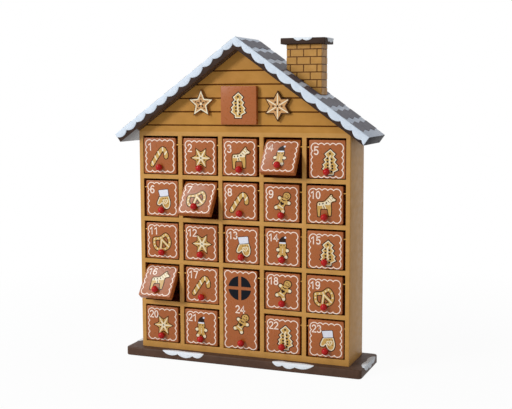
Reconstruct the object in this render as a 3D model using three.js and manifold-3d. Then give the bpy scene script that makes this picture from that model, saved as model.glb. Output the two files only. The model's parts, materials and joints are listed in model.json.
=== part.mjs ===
// An advent calendar in the shape of a gingerbread house: a shallow wooden box of pigeonholes on a
// base plate, with a swinging numbered door in front of each hole, under a gabled roof with a chimney.
//
// Sizes are in millimetres. X runs across the front, Y from the front to the back, and Z up.
// The origin is the middle of the base plate's underside.

import * as THREE from 'three';
import { mergeVertices } from 'three/addons/utils/BufferGeometryUtils.js';
import Module from 'manifold-3d';

// The box of pigeonholes
const COLUMNS = 5;
const ROWS = 5;
const COLUMN_PITCH = 55;
const ROW_PITCH = 54.75;
const BOARD = 5.5;
const BOTTOM_BOARD = 7.5;
const BODY_DEPTH = 61;
const BACK_PANEL = 3;

// The base plate and how far it reaches past the box
const BASE_THICKNESS = 11;
const BASE_SIDE_LEDGE = 18.25;
const BASE_FRONT_LEDGE = 12.5;
const BASE_BACK_LEDGE = 7.5;
const BASE_CORNER_RADIUS = 5;
const BASE_EDGE_BEVEL = 1.5;

// The roof
const ROOF_SLOPE = THREE.MathUtils.degToRad(35.6);
const ROOF_THICKNESS = 12;
const EAVE_OVERHANG = 26.25;
const ROOF_FRONT_OVERHANG = 15.25;

// The gable board's routed grooves
const GROOVE_FIRST = 8.25;
const GROOVE_PITCH = 16.75;
const GROOVE_WIDTH = 2.2;
const GROOVE_DEPTH = 1.3;

// The chimney
const STACK_WIDTH = 44;
const STACK_DEPTH = 22.5;
const STACK_CENTRE_X = 77;
const STACK_SETBACK = 15.5;
const STACK_OUTER_HEIGHT = 61.5;
const CAP_THICKNESS = 7.25;
const CAP_OVERHANG = 6.25;
const CAP_EDGE_BEVEL = 0.75;

// The cut-outs glued to the gable
const TILE_SIZE = 47;
const TILE_THICKNESS = 6;
const TILE_RISE = 9.5;
const STAR_THICKNESS = 4;
const STAR_FIVE = { x: -51, rise: 35, outer: 18, inner: 8.4 };
const STAR_SIX = { x: 50, rise: 32, outer: 18.5, inner: 10.7 };

// The doors, their hinge pins and their knobs
const DOOR_THICKNESS = 8;
const DOOR_SIDE_GAP = 2.2;
const DOOR_TOP_GAP = 2.5;
const DOOR_BOTTOM_GAP = 1;
const DOOR_CORNER_RADIUS = 1.5;
const DOOR_EDGE_BEVEL = 0.8;
const PIN_DROP = 8.8;
const PIN_DEPTH = 2.5;
const PIN_RADIUS = 1;
const PIN_ENGAGEMENT = 2;
const PIN_CLEARANCE = 0.3;
const KNOB_RADIUS = 4.2;
const KNOB_CENTRE = 3.4;
const KNOB_RISE = 8.25;
const TALL_KNOB_SHIFT = 1.5;
const PEG_RADIUS = 1.4;
const PEG_LENGTH = 4.5;

// Clearance left where a piece rests on a sloping or turned neighbour, and round the knobs' pegs
const SEAT_GAP = 0.3;

// How far each door has slid to the right on its pins, from the middle of its opening, by number
const DOOR_PLAY = [
  -1.1, -0.3, -1.3, -0.7, 1.3, 1.1, -0.8, -1.1, -1.3, -1.3, 0.6, 0, 0.9, -0.3, -0.8, -1.3, 1, -0.2, -1.3, -1.2,
  -0.7, -0.2, 0.6, -1.3,
];

// Doors that stand open, by number, with their angle in degrees
const OPEN_DOORS = { 4: 34, 7: 35, 16: 38 };

// The tall door takes the last number, in the middle column over the two lowest rows
const TALL_COLUMN = 2;
const TALL_ROWS = 2;

// Facet counts of the round pieces and corners, and the distance under which corner points are one
const PIN_SIDES = 10;
const KNOB_SIDES = 12;
const KNOB_RINGS = 5;
const CORNER_FACETS = 3;
const WELD_DISTANCE = 0.0001;

// Planes and lengths that follow from the sizes above
const OPENING_WIDTH = COLUMN_PITCH - BOARD;
const INNER_HALF_WIDTH = (COLUMNS * COLUMN_PITCH - BOARD) / 2;
const HALF_WIDTH = INNER_HALF_WIDTH + BOARD;
const BASE_DEPTH = BASE_FRONT_LEDGE + BODY_DEPTH + BASE_BACK_LEDGE;
const FRONT_Y = BASE_FRONT_LEDGE - BASE_DEPTH / 2;
const BACK_Y = FRONT_Y + BODY_DEPTH;
const FIRST_OPENING_Z = BASE_THICKNESS + BOTTOM_BOARD;
const BOX_TOP_Z = FIRST_OPENING_Z + ROWS * ROW_PITCH;
const GABLE_PEAK_Z = BOX_TOP_Z + HALF_WIDTH * Math.tan(ROOF_SLOPE);
const ROOF_UNDERSIDE_PEAK_Z = GABLE_PEAK_Z + SEAT_GAP / Math.cos(ROOF_SLOPE);
const RIDGE_Z = ROOF_UNDERSIDE_PEAK_Z + ROOF_THICKNESS / Math.cos(ROOF_SLOPE);
const EAVE_REACH = HALF_WIDTH + EAVE_OVERHANG;
const STACK_TOP_Z = roofTopZ(STACK_CENTRE_X + STACK_WIDTH / 2) + STACK_OUTER_HEIGHT;
const PIN_HOLE_DEPTH = PIN_ENGAGEMENT + PIN_CLEARANCE;
const PIVOT_Y = FRONT_Y + PIN_DEPTH;

// Colours, as painted
const PAINT = {
  tan: { color: 0xc08a45, roughness: 0.55 },
  brown: { color: 0x46352e, roughness: 0.6 },
  slate: { color: 0x66646e, roughness: 0.7 },
  terracotta: { color: 0xa8663e, roughness: 0.55 },
  biscuit: { color: 0xc9a35e, roughness: 0.6 },
  red: { color: 0xb01e1e, roughness: 0.25 },
};

function paint(name) {
  return new THREE.MeshStandardMaterial({ ...PAINT[name], metalness: 0 });
}

const wasm = await Module();
wasm.setup();

function toSolid(geometry) {
  const bare = geometry.clone();
  bare.deleteAttribute('normal');
  bare.deleteAttribute('uv');
  const merged = mergeVertices(bare, WELD_DISTANCE);
  const vertProperties = new Float32Array(merged.attributes.position.array);
  const triVerts = new Uint32Array(merged.index.array);
  return new wasm.Manifold(new wasm.Mesh({ numProp: 3, vertProperties, triVerts }));
}

function toGeometry(solid) {
  const mesh = solid.getMesh();
  const geometry = new THREE.BufferGeometry();
  geometry.setAttribute('position', new THREE.BufferAttribute(new Float32Array(mesh.vertProperties), 3));
  geometry.setIndex(new THREE.BufferAttribute(new Uint32Array(mesh.triVerts), 1));
  geometry.computeVertexNormals();
  return geometry;
}

function shapeOf(points) {
  return new THREE.Shape(points.map(([across, up]) => new THREE.Vector2(across, up)));
}

// A board lying in the plane of the front: its outline is given across and up, and it runs back
// from yFront over its thickness.
function uprightBoard(outline, yFront, thickness) {
  const geometry = new THREE.ExtrudeGeometry(outline, { depth: thickness, bevelEnabled: false });
  geometry.rotateX(Math.PI / 2);
  geometry.translate(0, yFront + thickness, 0);
  return geometry;
}

function roundedRectangle(width, height, radius) {
  const right = width / 2;
  const top = height / 2;
  const shape = new THREE.Shape();
  shape.moveTo(radius - right, -top);
  shape.lineTo(right - radius, -top);
  shape.absarc(right - radius, radius - top, radius, -Math.PI / 2, 0);
  shape.lineTo(right, top - radius);
  shape.absarc(right - radius, top - radius, radius, 0, Math.PI / 2);
  shape.lineTo(radius - right, top);
  shape.absarc(radius - right, top - radius, radius, Math.PI / 2, Math.PI);
  shape.lineTo(-right, radius - top);
  shape.absarc(radius - right, radius - top, radius, Math.PI, Math.PI * 1.5);
  return shape;
}

// A slab whose outline and thickness are the finished sizes, with its long edges bevelled.
function bevelledSlab(width, height, thickness, radius, bevel) {
  const outline = roundedRectangle(width, height, radius);
  const geometry = new THREE.ExtrudeGeometry(outline, {
    depth: thickness - 2 * bevel,
    bevelThickness: bevel,
    bevelSize: bevel,
    bevelOffset: -bevel,
    bevelSegments: 1,
    curveSegments: CORNER_FACETS,
  });
  geometry.translate(0, 0, bevel);
  return geometry;
}

function rodAlongX(radius, length, sides) {
  const geometry = new THREE.CylinderGeometry(radius, radius, length, sides);
  geometry.rotateZ(Math.PI / 2);
  return geometry;
}

function basePlate() {
  const width = 2 * (HALF_WIDTH + BASE_SIDE_LEDGE);
  return bevelledSlab(width, BASE_DEPTH, BASE_THICKNESS, BASE_CORNER_RADIUS, BASE_EDGE_BEVEL);
}

// Every door's place: its number, its middle across, the foot and the height of its opening.
function doorPlaces() {
  const places = [];
  let number = 1;
  for (let row = ROWS - 1; row >= 0; row -= 1) {
    for (let column = 0; column < COLUMNS; column += 1) {
      const underTallDoor = column === TALL_COLUMN && row < TALL_ROWS;
      if (!underTallDoor) {
        places.push(doorPlace(number, column, row, 1));
        number += 1;
      }
    }
  }
  places.push(doorPlace(number, TALL_COLUMN, 0, TALL_ROWS));
  return places;
}

function doorPlace(number, column, row, rowsHigh) {
  const footZ = FIRST_OPENING_Z + row * ROW_PITCH;
  const openingHeight = rowsHigh * ROW_PITCH - BOARD;
  const height = openingHeight - DOOR_TOP_GAP - DOOR_BOTTOM_GAP;
  const play = DOOR_PLAY[number - 1];
  return {
    number,
    x: (column - (COLUMNS - 1) / 2) * COLUMN_PITCH,
    footZ,
    openingHeight,
    height,
    pivotZ: footZ + openingHeight - DOOR_TOP_GAP - PIN_DROP,
    play,
    knobX: rowsHigh > 1 ? play + TALL_KNOB_SHIFT : play,
    knobZ: PIN_DROP - height + KNOB_RISE,
    openAngle: OPEN_DOORS[number] ?? 0,
  };
}

// The holes for one door's two pins, as one rod that runs from hole bottom to hole bottom.
function pinHoleCutter(place) {
  const rod = rodAlongX(PIN_RADIUS + PIN_CLEARANCE, OPENING_WIDTH + 2 * PIN_HOLE_DEPTH, PIN_SIDES);
  rod.translate(place.x, PIVOT_Y, place.pivotZ);
  return toSolid(rod);
}

function cutAll(geometry, cutters) {
  return toGeometry(cutters.reduce((solid, cutter) => solid.subtract(cutter), toSolid(geometry)));
}

function rectangle(left, right, bottom, top) {
  return shapeOf([
    [left, bottom],
    [right, bottom],
    [right, top],
    [left, top],
  ]);
}

function sideWall(side, places) {
  const middle = side * (INNER_HALF_WIDTH + BOARD / 2);
  const outline = rectangle(middle - BOARD / 2, middle + BOARD / 2, BASE_THICKNESS, BOX_TOP_Z);
  return cutAll(uprightBoard(outline, FRONT_Y, BODY_DEPTH), places.map(pinHoleCutter));
}

// The space of one pigeonhole, run out past the front and the back of the grid.
function pigeonholeCutter(place) {
  const outline = rectangle(
    place.x - OPENING_WIDTH / 2,
    place.x + OPENING_WIDTH / 2,
    place.footZ,
    place.footZ + place.openingHeight,
  );
  return toSolid(uprightBoard(outline, FRONT_Y - BOARD, BODY_DEPTH + BOARD));
}

// Shelves and dividers, half-lapped and glued into one egg-crate that is open to the side walls.
function compartmentGrid(places) {
  const outline = rectangle(-INNER_HALF_WIDTH, INNER_HALF_WIDTH, BASE_THICKNESS, BOX_TOP_Z);
  const block = uprightBoard(outline, FRONT_Y, BODY_DEPTH - BACK_PANEL);
  return cutAll(block, [...places.map(pigeonholeCutter), ...places.map(pinHoleCutter)]);
}

// The back panel fills the box between the side walls and closes the gable above them.
function backPanel() {
  const outline = shapeOf([
    [-INNER_HALF_WIDTH, BASE_THICKNESS],
    [INNER_HALF_WIDTH, BASE_THICKNESS],
    [INNER_HALF_WIDTH, BOX_TOP_Z],
    [HALF_WIDTH, BOX_TOP_Z],
    [0, GABLE_PEAK_Z],
    [-HALF_WIDTH, BOX_TOP_Z],
    [-INNER_HALF_WIDTH, BOX_TOP_Z],
  ]);
  return uprightBoard(outline, BACK_Y - BACK_PANEL, BACK_PANEL);
}

// The gable board stands on the side walls and the top shelf. Routed V grooves make it look planked.
function gableBoard() {
  const outline = shapeOf([
    [-HALF_WIDTH, BOX_TOP_Z],
    [HALF_WIDTH, BOX_TOP_Z],
    [0, GABLE_PEAK_Z],
  ]);
  const grooves = [];
  for (let z = BOX_TOP_Z + GROOVE_FIRST; z + GROOVE_PITCH < GABLE_PEAK_Z; z += GROOVE_PITCH) {
    grooves.push(grooveCutter(z));
  }
  return cutAll(uprightBoard(outline, FRONT_Y, BOARD), grooves);
}

// A triangular bar with its sharp edge at the bottom of the groove. It stands one depth proud of the
// board's face, where it is twice as wide as the groove.
function grooveCutter(z) {
  const bar = new THREE.ExtrudeGeometry(
    shapeOf([
      [FRONT_Y + GROOVE_DEPTH, z],
      [FRONT_Y - GROOVE_DEPTH, z + GROOVE_WIDTH],
      [FRONT_Y - GROOVE_DEPTH, z - GROOVE_WIDTH],
    ]),
    { depth: 2 * HALF_WIDTH, bevelEnabled: false },
  );
  bar.rotateX(Math.PI / 2);
  bar.rotateZ(Math.PI / 2);
  bar.translate(-HALF_WIDTH, 0, 0);
  return toSolid(bar);
}

// Two boards mitred and glued along the ridge, with their eave edges cut square to the slope.
function roof() {
  const slopeDrop = Math.tan(ROOF_SLOPE);
  const eaveTopZ = RIDGE_Z - EAVE_REACH * slopeDrop;
  const eaveFootX = EAVE_REACH - ROOF_THICKNESS * Math.sin(ROOF_SLOPE);
  const eaveFootZ = eaveTopZ - ROOF_THICKNESS * Math.cos(ROOF_SLOPE);
  const outline = shapeOf([
    [0, ROOF_UNDERSIDE_PEAK_Z],
    [eaveFootX, eaveFootZ],
    [EAVE_REACH, eaveTopZ],
    [0, RIDGE_Z],
    [-EAVE_REACH, eaveTopZ],
    [-eaveFootX, eaveFootZ],
  ]);
  return uprightBoard(outline, FRONT_Y - ROOF_FRONT_OVERHANG, ROOF_FRONT_OVERHANG + BODY_DEPTH);
}

function roofTopZ(x) {
  return RIDGE_Z - Math.abs(x) * Math.tan(ROOF_SLOPE);
}

// The stack's foot is cut to the slope of the roof that it stands on.
function chimneyStack() {
  const inner = STACK_CENTRE_X - STACK_WIDTH / 2;
  const outer = STACK_CENTRE_X + STACK_WIDTH / 2;
  const lift = SEAT_GAP / Math.cos(ROOF_SLOPE);
  const outline = shapeOf([
    [inner, roofTopZ(inner) + lift],
    [outer, roofTopZ(outer) + lift],
    [outer, STACK_TOP_Z],
    [inner, STACK_TOP_Z],
  ]);
  return uprightBoard(outline, FRONT_Y + STACK_SETBACK, STACK_DEPTH);
}

function chimneyCap() {
  const width = STACK_WIDTH + 2 * CAP_OVERHANG;
  const depth = STACK_DEPTH + 2 * CAP_OVERHANG;
  const cap = bevelledSlab(width, depth, CAP_THICKNESS, 2 * CAP_EDGE_BEVEL, CAP_EDGE_BEVEL);
  cap.translate(STACK_CENTRE_X, FRONT_Y + STACK_SETBACK + STACK_DEPTH / 2, STACK_TOP_Z);
  return cap;
}

function gableTile() {
  const tile = bevelledSlab(TILE_SIZE, TILE_SIZE, TILE_THICKNESS, DOOR_CORNER_RADIUS, DOOR_EDGE_BEVEL);
  tile.rotateX(Math.PI / 2);
  tile.translate(0, FRONT_Y, BOX_TOP_Z + TILE_RISE + TILE_SIZE / 2);
  return tile;
}

// A star with one point straight up, as tall as its outer radius above its middle.
function star(points, size) {
  const outline = [];
  for (let step = 0; step < 2 * points; step += 1) {
    const angle = Math.PI / 2 + (step * Math.PI) / points;
    const radius = step % 2 === 0 ? size.outer : size.inner;
    outline.push([size.x + radius * Math.cos(angle), BOX_TOP_Z + size.rise + radius * Math.sin(angle)]);
  }
  return uprightBoard(shapeOf(outline), FRONT_Y - STAR_THICKNESS, STAR_THICKNESS);
}

// A door is drawn about its pivot, in the middle of its opening. Its two hinge pins reach equally far
// into the boards at both sides, however far the door has slid along them.
function door(place) {
  const width = OPENING_WIDTH - 2 * DOOR_SIDE_GAP;
  const slab = bevelledSlab(width, place.height, DOOR_THICKNESS, DOOR_CORNER_RADIUS, DOOR_EDGE_BEVEL);
  slab.rotateX(Math.PI / 2);
  slab.translate(place.play, DOOR_THICKNESS - PIN_DEPTH, PIN_DROP - place.height / 2);
  const pins = rodAlongX(PIN_RADIUS, OPENING_WIDTH + 2 * PIN_ENGAGEMENT, PIN_SIDES);
  const pegHole = new THREE.CylinderGeometry(
    PEG_RADIUS + SEAT_GAP,
    PEG_RADIUS + SEAT_GAP,
    2 * (PEG_LENGTH + SEAT_GAP),
    PIN_SIDES,
  );
  pegHole.translate(place.knobX, -PIN_DEPTH, place.knobZ);
  return toGeometry(toSolid(slab).add(toSolid(pins)).subtract(toSolid(pegHole)));
}

// A round bead with a flat back and a peg, turned about the line square to the door.
function knob(place) {
  const seat = KNOB_CENTRE - SEAT_GAP;
  const seatRadius = Math.sqrt(KNOB_RADIUS ** 2 - seat ** 2);
  const seatAngle = Math.atan2(seatRadius, seat);
  const profile = [new THREE.Vector2(0, -KNOB_CENTRE - KNOB_RADIUS)];
  for (let ring = 1; ring < KNOB_RINGS; ring += 1) {
    const angle = Math.PI - (ring / KNOB_RINGS) * (Math.PI - seatAngle);
    profile.push(new THREE.Vector2(KNOB_RADIUS * Math.sin(angle), KNOB_RADIUS * Math.cos(angle) - KNOB_CENTRE));
  }
  profile.push(new THREE.Vector2(seatRadius, -SEAT_GAP));
  profile.push(new THREE.Vector2(PEG_RADIUS, -SEAT_GAP));
  profile.push(new THREE.Vector2(PEG_RADIUS, PEG_LENGTH));
  profile.push(new THREE.Vector2(0, PEG_LENGTH));
  const bead = new THREE.LatheGeometry(profile, KNOB_SIDES);
  bead.translate(place.knobX, -PIN_DEPTH, place.knobZ);
  return bead;
}

function addMesh(parent, name, geometry, colour) {
  const mesh = new THREE.Mesh(geometry, paint(colour));
  mesh.name = name;
  parent.add(mesh);
}

// A door and its knob turn together about the pins, with the foot of the door swinging out.
function addDoor(parent, place) {
  const group = new THREE.Group();
  const label = String(place.number).padStart(2, '0');
  group.position.set(place.x, PIVOT_Y, place.pivotZ);
  group.rotation.x = -THREE.MathUtils.degToRad(place.openAngle);
  addMesh(group, `door_${label}`, door(place), 'terracotta');
  addMesh(group, `knob_${label}`, knob(place), 'red');
  parent.add(group);
}

function calendar() {
  const group = new THREE.Group();
  const places = doorPlaces();
  addMesh(group, 'base_plate', basePlate(), 'brown');
  addMesh(group, 'left_wall', sideWall(-1, places), 'tan');
  addMesh(group, 'right_wall', sideWall(1, places), 'tan');
  addMesh(group, 'compartment_grid', compartmentGrid(places), 'tan');
  addMesh(group, 'back_panel', backPanel(), 'tan');
  addMesh(group, 'gable_board', gableBoard(), 'tan');
  addMesh(group, 'roof', roof(), 'slate');
  addMesh(group, 'chimney_stack', chimneyStack(), 'tan');
  addMesh(group, 'chimney_cap', chimneyCap(), 'brown');
  addMesh(group, 'gable_tile', gableTile(), 'terracotta');
  addMesh(group, 'star_five', star(5, STAR_FIVE), 'biscuit');
  addMesh(group, 'star_six', star(6, STAR_SIX), 'biscuit');
  for (const place of places) {
    addDoor(group, place);
  }
  return group;
}

export default calendar();
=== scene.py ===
"""Looks of the advent calendar house: rounded boards, printed doors, knobs, slates, bricks and snow.

Sizes are in millimetres, but for the floor and the lamps in metres. Colours are written as they look on
screen.
"""
import json
from math import acos, atan2, cos, hypot, pi, radians, sin, tan

import bmesh
import bpy
from mathutils import Matrix, Vector

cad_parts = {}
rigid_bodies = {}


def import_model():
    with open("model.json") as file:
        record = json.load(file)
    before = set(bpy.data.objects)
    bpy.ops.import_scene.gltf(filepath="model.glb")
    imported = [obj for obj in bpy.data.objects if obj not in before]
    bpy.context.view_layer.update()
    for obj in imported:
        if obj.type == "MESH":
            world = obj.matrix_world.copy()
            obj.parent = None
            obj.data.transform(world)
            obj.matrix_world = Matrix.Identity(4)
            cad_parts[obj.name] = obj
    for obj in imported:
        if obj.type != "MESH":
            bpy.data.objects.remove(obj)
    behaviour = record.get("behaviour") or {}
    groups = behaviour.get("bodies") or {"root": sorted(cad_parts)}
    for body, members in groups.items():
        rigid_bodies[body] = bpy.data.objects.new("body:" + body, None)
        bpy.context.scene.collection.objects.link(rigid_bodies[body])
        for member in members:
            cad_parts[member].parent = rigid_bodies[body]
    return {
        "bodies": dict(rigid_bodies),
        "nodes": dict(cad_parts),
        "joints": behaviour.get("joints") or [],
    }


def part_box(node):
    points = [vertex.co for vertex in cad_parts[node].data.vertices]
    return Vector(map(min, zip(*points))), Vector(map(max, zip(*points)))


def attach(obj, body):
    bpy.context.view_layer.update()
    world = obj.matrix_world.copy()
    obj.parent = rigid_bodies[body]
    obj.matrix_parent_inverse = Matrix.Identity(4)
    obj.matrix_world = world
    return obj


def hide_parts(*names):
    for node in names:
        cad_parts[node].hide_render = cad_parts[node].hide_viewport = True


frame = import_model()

MM = 0.001

# The photograph's camera, in the model's frame
PHOTO_WIDTH = 512
FOCAL_PIXELS = 941.13
SENSOR_WIDTH = 36
CAMERA_AT = (439.1, -1100.4, 336.5)
CAMERA_YAW = radians(21.335)
CAMERA_PITCH = radians(6.575)
CAMERA_ROLL = radians(-0.22)

# Doors and knobs, as in the solids
DOOR_WIDTH = 45.1
DOOR_THICKNESS = 8
DOOR_CORNER = 1.5
DOOR_EDGE = 0.8
PIN_DROP = 8.8
PIN_DEPTH = 2.5
PIN_RADIUS = 1
PIN_REACH = 26.75
KNOB_RADIUS = 4.2
KNOB_CENTRE = 3.4
KNOB_RISE = 8.25
KNOB_RINGS = 15
KNOB_SIDES = 28
TALL_DOOR = 24
TALL_KNOB_SHIFT = 1.5

# The house, as in the solids
FRONT_Y = -28
BOARD = 5.5
WALL_OUTER = 140.25
ROOF_SLOPE = radians(35.6)
STAR_FIVE_AT = (-51, 327.25)
STAR_SIX_AT = (50, 324.25)

# Thin relief: how far the first layer stands proud, how much each next one adds, and how deep its
# foot is sunk
FIRST_LAYER = 0.1
LAYER_STEP = 0.012
SINK = 0.06

# Shading is smooth across edges up to this angle
SMOOTH_ANGLE = radians(35)
# Faces that meet at less than the first are one face, and edges beyond the second may be rounded
FLAT_ANGLE = radians(0.5)
CORNER_ANGLE = radians(20)
# Corners of a solid's faces that are nearer to each other than this are one
WELD_METRES = 1e-6
# How near, in millimetres, a corner lies to the plane that it's looked for in
NEAR_PLANE = 0.01
BOARD_EDGE = 0.5
WALL_EDGE = 0.8
# An edge that climbs by more than this is upright
UPRIGHT = 20

# Paint: how much its roughness wanders, and how wide and how high its grit is
ROUGHNESS_SPREAD = 0.06
GRIT_SIZE = 0.9
GRIT_HEIGHT = 0.08


def remove_start_objects():
    ours = set(frame["nodes"].values()) | set(frame["bodies"].values())
    for other in [o for o in bpy.data.objects if o not in ours]:
        bpy.data.objects.remove(other)


def linear(level):
    level /= 255
    return level / 12.92 if level <= 0.04045 else ((level + 0.055) / 1.055) ** 2.4


def rgba(colour):
    return [linear(level) for level in colour] + [1]


def span(node):
    """A node's lowest and highest corners in millimetres."""
    low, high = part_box(node)
    return low / MM, high / MM


# Materials


class Shader:
    """Node material with one glossy paint-like shader and a few helpers to build its inputs."""

    def __init__(self, name):
        self.material = bpy.data.materials.new(name)
        self.material.use_nodes = True
        self.nodes = self.material.node_tree.nodes
        self.links = self.material.node_tree.links
        self.shader = self.nodes["Principled BSDF"]
        self.where = self.nodes.new("ShaderNodeTexCoord").outputs["Object"]

    def join(self, source, target):
        self.links.new(source, target)

    def noise(self, size, detail=3, stretch=(1, 1, 1)):
        """Noise whose features are about this many millimetres across."""
        mapping = self.nodes.new("ShaderNodeMapping")
        mapping.inputs["Scale"].default_value = stretch
        noise = self.nodes.new("ShaderNodeTexNoise")
        noise.inputs["Scale"].default_value = 1 / (size * MM)
        noise.inputs["Detail"].default_value = detail
        self.join(self.where, mapping.inputs["Vector"])
        self.join(mapping.outputs["Vector"], noise.inputs["Vector"])
        return noise.outputs["Fac"]

    def remap(self, source, low, high, to_low, to_high):
        node = self.nodes.new("ShaderNodeMapRange")
        node.inputs["From Min"].default_value = low
        node.inputs["From Max"].default_value = high
        node.inputs["To Min"].default_value = to_low
        node.inputs["To Max"].default_value = to_high
        self.join(source, node.inputs["Value"])
        return node.outputs["Result"]

    def mix(self, factor, first, second):
        node = self.nodes.new("ShaderNodeMix")
        node.data_type = "RGBA"
        self.join(factor, node.inputs["Factor"])
        for value, socket in ((first, node.inputs["A"]), (second, node.inputs["B"])):
            if isinstance(value, bpy.types.NodeSocket):
                self.join(value, socket)
            else:
                socket.default_value = rgba(value)
        return node.outputs["Result"]

    def along(self, axis):
        node = self.nodes.new("ShaderNodeSeparateXYZ")
        self.join(self.where, node.inputs["Vector"])
        return node.outputs[axis]

    def bump(self, source, strength, height):
        node = self.nodes.new("ShaderNodeBump")
        node.inputs["Strength"].default_value = strength
        node.inputs["Distance"].default_value = height * MM
        self.join(source, node.inputs["Height"])
        self.join(node.outputs["Normal"], self.shader.inputs["Normal"])


def paint(name, first, second, roughness, blotch=9, brushed=(1, 1, 1), grit=0.07, behind=None,
          specular=0.4):
    """Paint that wanders between two colours. Behind is (from one y, to another, it changes to this)."""
    made = Shader(name)
    colour = made.mix(made.remap(made.noise(blotch, 4, brushed), 0.32, 0.68, 0, 1), first, second)
    if behind:
        start, end, inner = behind
        colour = made.mix(made.remap(made.along("Y"), start * MM, end * MM, 0, 1), colour, inner)
    made.join(colour, made.shader.inputs["Base Color"])
    wander = made.noise(blotch * 0.6, 3, brushed)
    made.join(made.remap(wander, 0.3, 0.7, roughness - ROUGHNESS_SPREAD, roughness + ROUGHNESS_SPREAD),
              made.shader.inputs["Roughness"])
    made.bump(made.noise(GRIT_SIZE, 2, brushed), grit, GRIT_HEIGHT)
    made.shader.inputs["Specular IOR Level"].default_value = specular
    return made.material


def printed(name, first, second, blotch=3, roughness=0.3, specular=0.4):
    return paint(name, first, second, roughness, blotch, grit=0.04, specular=specular)


def make_materials():
    # Colour that the boards take inside the hollows, behind their front edges
    hollow = (118, 48, 10)
    tan = ((190, 139, 68), (200, 147, 77), 0.45, 14, (1, 1, 1.6))
    # The gable's tan is the boards' tan painted darker: painted shade from the roof above it
    shaded_tan = ((181, 128, 55), (191, 136, 63), 0.45, 14, (1, 1, 1.6))
    looks = {
        "tan": paint("tan paint", *tan, specular=0.25),
        # The front boards turn to the darker hollow colour from just behind their front edges inward
        "tan_front": paint("tan paint, darker inside the hollows", *tan, behind=(-26.6, -25.2, hollow),
                           specular=0.25),
        # The gable board: painted shade all over, and a darker brown inside the grooves
        "tan_grooved": paint("tan paint with painted shade, darker in the grooves", *shaded_tan,
                             behind=(-27.9, -27.3, (96, 50, 14)), specular=0.15),
        # The back panel takes the darker hollow colour on its inner face
        "panel": paint("raw board, darker inside", (186, 148, 98), (199, 162, 112), 0.7, 5, (1, 1, 4),
                       behind=(32, 31, hollow), specular=0.2),
        "brown": paint("dark brown paint", (56, 42, 36), (66, 49, 41), 0.6, 8, specular=0.1),
        "base_brown": paint("brown base paint", (76, 54, 42), (86, 62, 49), 0.5, 9, specular=0.15),
        "slate": paint("slate shingle paint", (76, 73, 86), (86, 83, 96), 0.4, 6, (1, 3, 1), specular=0.08),
        "roof_end": paint("dark slate paint", (37, 33, 38), (44, 40, 46), 0.5, 6, specular=0.06),
        "frost": paint("pale grey shingle paint", (206, 216, 234), (216, 225, 240), 0.4, 7, specular=0.1),
        "soffit": paint("dark soffit paint", (62, 46, 40), (74, 56, 50), 0.25, 8, specular=0.35),
        "mortar": paint("brown mortar paint", (92, 54, 16), (106, 64, 22), 0.55, 6, specular=0.2),
        "brick": paint("tan brick paint", (187, 134, 62), (198, 146, 74), 0.45, 7, specular=0.25),
        "terracotta": printed("terracotta print", (170, 92, 40), (165, 90, 37), 5),
        "piping": printed("piped icing print", (250, 224, 206), (244, 224, 210)),
        "icing": printed("cream icing print", (234, 218, 184), (240, 226, 196)),
        "biscuit": printed("biscuit print", (207, 163, 86), (199, 154, 76), 4),
        "star_biscuit": printed("star biscuit print", (202, 150, 92), (192, 140, 82), 4, 0.4),
        "crust": printed("dark crust print", (60, 28, 4), (52, 24, 2), specular=0.15),
        "chocolate": printed("chocolate print", (46, 22, 10), (38, 18, 8), specular=0.15),
        "lilac": printed("cool white print", (228, 228, 238), (220, 221, 234)),
        "night": paint("night blue print", (22, 25, 31), (27, 29, 36), 0.5, 4, specular=0.05),
        "pale_side": paint("star paint, pale side", (196, 156, 86), (186, 142, 74), 0.5, 4,
                           behind=(-31.9, -31.4, (172, 112, 52)), specular=0.15),
        "dark_side": paint("star paint, dark side", (196, 156, 86), (186, 142, 74), 0.5, 4,
                           behind=(-31.9, -31.4, (90, 52, 20)), specular=0.15),
        "snow": paint("snow paint", (210, 220, 234), (218, 227, 238), 0.6, 5, grit=0.3, specular=0.2),
        "fresh_snow": paint("fresh snow paint", (232, 238, 246), (238, 243, 250), 0.6, 5, grit=0.3,
                            specular=0.2),
        "lacquer": paint("red lacquer", (186, 20, 18), (174, 15, 15), 0.24, 3, grit=0, specular=0.2),
    }
    brass = Shader("brass")
    brass.shader.inputs["Metallic"].default_value = 1
    tint = brass.remap(brass.noise(1.5), 0.3, 0.7, 0, 1)
    brass.join(brass.mix(tint, (178, 136, 72), (160, 118, 58)), brass.shader.inputs["Base Color"])
    brass.join(brass.remap(brass.noise(1.2), 0.3, 0.7, 0.3, 0.45), brass.shader.inputs["Roughness"])
    looks["brass"] = brass.material
    return looks


# Places and meshes


def face_at(origin, across, up):
    """Matrix from (across, up, proud) in millimetres on a face to metres in the model's frame."""
    across = Vector(across)
    up = Vector(up)
    proud = across.cross(up)
    columns = Matrix((across, up, proud)).transposed().to_4x4()
    return Matrix.Translation(Vector(origin) * MM) @ columns @ Matrix.Scale(MM, 4)


def front_face(x, y, z):
    return face_at((x, y, z), (1, 0, 0), (0, 0, 1))


def finish_piece(name, mesh, materials, body, replaced=()):
    data = bpy.data.meshes.new(name)
    mesh.to_mesh(data)
    mesh.free()
    for material in materials:
        data.materials.append(material)
    data.shade_smooth()
    data.set_sharp_from_angle(angle=SMOOTH_ANGLE)
    piece = bpy.data.objects.new(name, data)
    bpy.context.scene.collection.objects.link(piece)
    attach(piece, body)
    if replaced:
        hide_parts(*replaced)
    return piece


def signed_area(points):
    following = points[1:] + points[:1]
    return sum(a[0] * b[1] - b[0] * a[1] for a, b in zip(points, following)) / 2


def arc(centre, radius_across, radius_up, start, end, steps):
    """Points on an ellipse's arc between two angles in degrees."""
    points = []
    for step in range(steps + 1):
        angle = radians(start + (end - start) * step / steps)
        points.append((centre[0] + radius_across * cos(angle), centre[1] + radius_up * sin(angle)))
    return points


def oval(centre, radius_across, radius_up=None, steps=16):
    return arc(centre, radius_across, radius_up or radius_across, 0, 360, steps)[:-1]


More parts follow.
